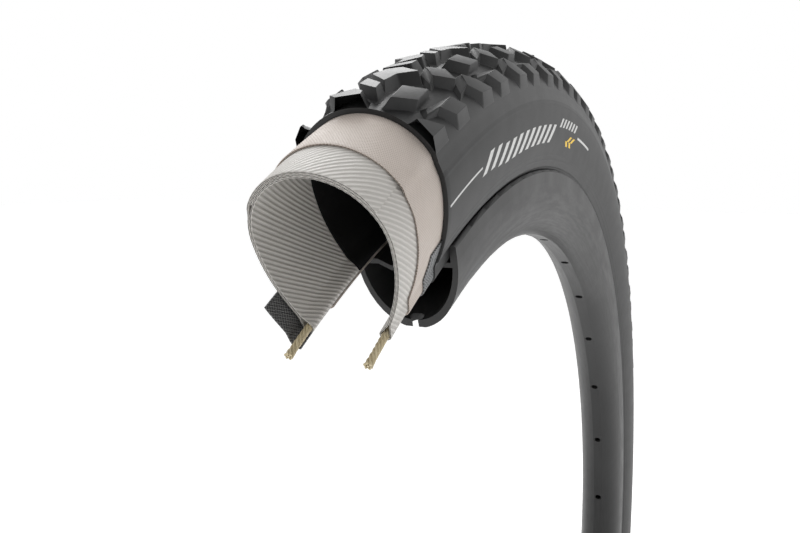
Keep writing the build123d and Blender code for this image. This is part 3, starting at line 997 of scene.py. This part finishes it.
shell = Shell()
shell.sweep(ring_angles(RUBBER_START, RUBBER_START + 4, 0.5, 1.0), base_pairs)
shell.build("tread_base", tread_rubber, "tread")
for kind, outline in BLOCKS.items():
    shell = Shell()
    for side in (-1, 1):
        add_blocks(shell, outline, side)
    cut_at_start(shell)
    shell.build("tread_blocks_" + kind, tread_rubber, "tread", smooth=32)

# ---- Side walls --------------------------------------------------------------------------------

LIP_ROUND = 1.1
MOULD_LINES = [(114.6, 0.14, 0.45), (111.8, 0.07, 0.35), (81.5, 0.10, 0.6)]


def side_face(along):
    """The side wall's outer face: its offset from the casing line, with the moulding lines."""
    lines = [rise * max(0.0, 1 - abs(along - length_to(line)) / width)
             for line, rise, width in MOULD_LINES]
    return side_outside + sum(lines)


def side_wall(name, side):
    """A side wall's rubber: fine moulding lines, a rounded lip over the rim, then the skirt."""
    first = length_to(TREAD_EDGE)
    last = side_end + LIP_RUN
    ramp = (length_to(CHAFER_TOP - CHAFER_RAMP), length_to(CHAFER_TOP))
    wall = []
    for along in spread(first, last, 0.3):
        near = rubber_inside + (over_chafer - rubber_inside) * ease(along, *ramp)
        far = side_face(along)
        short = max(0.0, 1 - (last - along) / LIP_ROUND)
        far -= (far - over_chafer - SKIRT) * (1 - (1 - short * short) ** 0.5)
        wall.append((line_point(side * along, near), line_point(side * along, far), along))
    middle = over_chafer + SKIRT / 2
    skirt_line = to_bead(side, middle, skirt_radius + SKIRT / 2, True, SKIRT_TOE_ANGLE)
    started = [point for point in skirt_line if point[0] < line_point(side * last, middle)[0]]
    for x, y, nx, ny, run in even_line(started, 0.4):
        half = SKIRT / 2 * (1 if ny * side > 0 else -1)
        wall.append(((x - nx * half, y - ny * half), (x + nx * half, y + ny * half), last + run))

    def section(angle):
        draw_in = end_round(angle, RUBBER_START)
        made = []
        for near, far, run in wall:
            thick = Vector(far) - Vector(near)
            inset = thick.normalized() * draw_in
            made.append((near, tuple(Vector(far) - inset), run))
        return made

    shell = Shell()
    shell.sweep(layer_angles(RUBBER_START, RUBBER_START + 4, 0.5, 0.8), section)
    shell.build(name + "_rubber", side_rubber, name, smooth=50)


side_wall("sidewall_left", 1)
side_wall("sidewall_right", -1)

# ---- Print on the side walls -------------------------------------------------------------------
# Plain slanted bars, a pinstripe and a dash. They stand for lettering and form no letters.

PRINT_SINK = 0.03
PRINT_RISE = 0.025


def add_patch(shell, side, corners):
    """A thin patch of ink. Its corners are angle and length from the crown, in order round it."""
    a, b, c, d = [Vector(corner) for corner in corners]
    across = max(2, ceil(max((b - a).x, (c - d).x) / 0.25))
    down = max(2, ceil(max(abs((d - a).y), abs((c - b).y)) / 0.8))
    for level in (-PRINT_SINK, PRINT_RISE):
        start = len(shell.verts)
        for i in range(across + 1):
            for k in range(down + 1):
                spot = a.lerp(b, i / across).lerp(d.lerp(c, i / across), k / down)
                offset = side_face(spot.y) + level
                shell.vert(place(spot.x, *line_point(side * spot.y, offset)), tuple(spot))
        if level > 0:
            for i in range(across):
                for k in range(down):
                    here = start + i * (down + 1) + k
                    shell.faces.append((here, here + 1, here + down + 2, here + down + 1))
            rim = [i * (down + 1) for i in range(across + 1)]
            rim += [across * (down + 1) + k for k in range(1, down + 1)]
            rim += [i * (down + 1) + down for i in range(across - 1, -1, -1)]
            rim += [k for k in range(down - 1, 0, -1)]
            below = start - (across + 1) * (down + 1)
            shell.loop_strip([below + i for i in rim], [start + i for i in rim])


def slanted_bar(angle, width, top, bottom, lean):
    """A bar's corners: it leans forward towards the tread."""
    return [(angle + lean, top), (angle + lean + width, top), (angle + width, bottom), (angle, bottom)]


BAR_LEAN = 1.25
BIG_BARS = 11
BIG_FIRST = 72.0
BIG_LAST = 86.6
SMALL_BARS = 6
SMALL_FIRST = 89.6
SMALL_LAST = 94.6
PINSTRIPE = (67.1, 71.9, 35.3, 35.9)
DASH = (96.4, 101.4, 36.3, 37.3)
CHEVRONS = (92.9, 94.1)


def straight_bar(first, last, top, bottom):
    """A bar's corners: it runs round the ring between two angles."""
    return [(first, top), (last, top), (last, bottom), (first, bottom)]


def print_marks(name, side):
    """The print on one side wall."""
    shell = Shell()
    add_patch(shell, side, straight_bar(*PINSTRIPE))
    for i in range(BIG_BARS):
        share = i / (BIG_BARS - 1)
        angle = BIG_FIRST + (BIG_LAST - BIG_FIRST) * share
        top = 33.0 + 1.9 * ease(share, 0.0, 0.25)
        bottom = 38.6 + 3.0 * ease(share, 0.0, 0.35)
        add_patch(shell, side, slanted_bar(angle, 0.72, top, bottom, BAR_LEAN))
    for i in range(SMALL_BARS):
        angle = SMALL_FIRST + (SMALL_LAST - SMALL_FIRST) * i / (SMALL_BARS - 1)
        add_patch(shell, side, slanted_bar(angle, 0.5, 32.0, 35.6, BAR_LEAN * 0.6))
    add_patch(shell, side, straight_bar(*DASH))
    shell.build(name + "_white", white_ink, None)
    shell = Shell()
    for angle in CHEVRONS:
        add_patch(shell, side, slanted_bar(angle, 0.6, 38.0, 40.3, 0.9))
        add_patch(shell, side, slanted_bar(angle, 0.6, 40.3, 42.4, -0.5))
    shell.build(name + "_yellow", yellow_ink, None)


print_marks("print_left", 1)
print_marks("print_right", -1)

# ---- Rim ---------------------------------------------------------------------------------------

frame["nodes"]["rim"].data.materials.clear()
frame["nodes"]["rim"].data.materials.append(rim_carbon)

# ---- Camera, lights and floor ------------------------------------------------------------------

CAMERA_PLACE = Vector((-306.54, -86.10, 317.50)) * MM
CAMERA_TURN = 0.423
CAMERA_DIP = 0.135
CAMERA_LENS = 32.9
SENSOR_WIDTH = 36
CLIP_START = 0.01

camera_data = bpy.data.cameras.new("camera")
camera_data.lens = CAMERA_LENS
camera_data.sensor_width = SENSOR_WIDTH
camera_data.clip_start = CLIP_START
camera = bpy.data.objects.new("camera", camera_data)
bpy.context.scene.collection.objects.link(camera)
look = Vector((cos(CAMERA_DIP) * cos(CAMERA_TURN), cos(CAMERA_DIP) * sin(CAMERA_TURN), -sin(CAMERA_DIP)))
camera.location = CAMERA_PLACE
camera.rotation_euler = look.to_track_quat("-Z", "Y").to_euler()
bpy.context.scene.camera = camera
bpy.context.scene.view_settings.view_transform = "Standard"


def area_light(name, location, target, size, power):
    """A soft square light that faces a point."""
    data = bpy.data.lights.new(name, "AREA")
    data.size = size
    data.energy = power
    light = bpy.data.objects.new(name, data)
    light.location = location
    light.rotation_euler = (Vector(target) - Vector(location)).to_track_quat("-Z", "Y").to_euler()
    bpy.context.scene.collection.objects.link(light)


# A light's name, its place, the point it faces, its size and its power.
LIGHTS = [
    ("key", (0.9, 0.7, 1.6), (-0.05, 0, 0.3), 1.2, 20),
    ("side", (0.9, -1.9, 0.9), (0.1, 0, 0.1), 1.4, 4),
    ("fill", (-1.5, 0.5, 0.9), (-0.2, 0, 0.3), 1.2, 9),
]
for light in LIGHTS:
    area_light(*light)


BRIGHT_SIDE = (0.75, 0.0, 0.65)
GLOW = (-0.7, 0.95, 0.05, 1.0)


def studio_world():
    """A white studio: white behind the object, brightest over and behind it, dimmer in front."""
    world = bpy.data.worlds.new("studio")
    bpy.context.scene.world = world
    world.use_nodes = True
    tree = world.node_tree
    coords = tree.nodes.new("ShaderNodeTexCoord")
    toward = tree.nodes.new("ShaderNodeVectorMath")
    toward.operation = "DOT_PRODUCT"
    toward.inputs[1].default_value = Vector(BRIGHT_SIDE).normalized()
    tree.links.new(coords.outputs["Generated"], toward.inputs[0])
    glow = tree.nodes.new("ShaderNodeMapRange")
    glow.interpolation_type = "SMOOTHSTEP"
    for name, value in zip(("From Min", "From Max", "To Min", "To Max"), GLOW):
        glow.inputs[name].default_value = value
    tree.links.new(toward.outputs["Value"], glow.inputs["Value"])
    path = tree.nodes.new("ShaderNodeLightPath")
    level = tree.nodes.new("ShaderNodeMix")
    level.inputs["B"].default_value = 1.0
    tree.links.new(path.outputs["Is Camera Ray"], level.inputs["Factor"])
    tree.links.new(glow.outputs[0], level.inputs["A"])
    tree.links.new(level.outputs["Result"], tree.nodes["Background"].inputs["Strength"])
    tree.nodes["Background"].inputs["Color"].default_value = (1, 1, 1, 1)


studio_world()

FLOOR_GLOW = 0.3
FLOOR_HALF = 12.0
FLOOR_DROP = 0.001

floor_mesh = bpy.data.meshes.new("floor")
low = cad_box[0].z - FLOOR_DROP
corners = [(x * FLOOR_HALF, y * FLOOR_HALF, low) for x, y in ((-1, -1), (1, -1), (1, 1), (-1, 1))]
floor_mesh.from_pydata(corners, [], [(0, 1, 2, 3)])
floor = bpy.data.objects.new("floor", floor_mesh)
bpy.context.scene.collection.objects.link(floor)
pale = Nodes("pale_floor")
floor_mesh.materials.append(pale.finish(
    pale.mix(pale.noise(0.002), (0.96, 0.96, 0.96, 1), (0.98, 0.98, 0.98, 1)), 0.95,
    pale.bump(pale.noise(0.05), 0.05),
    Specular_IOR_Level=0.0, Emission_Color=(1, 1, 1, 1), Emission_Strength=FLOOR_GLOW))
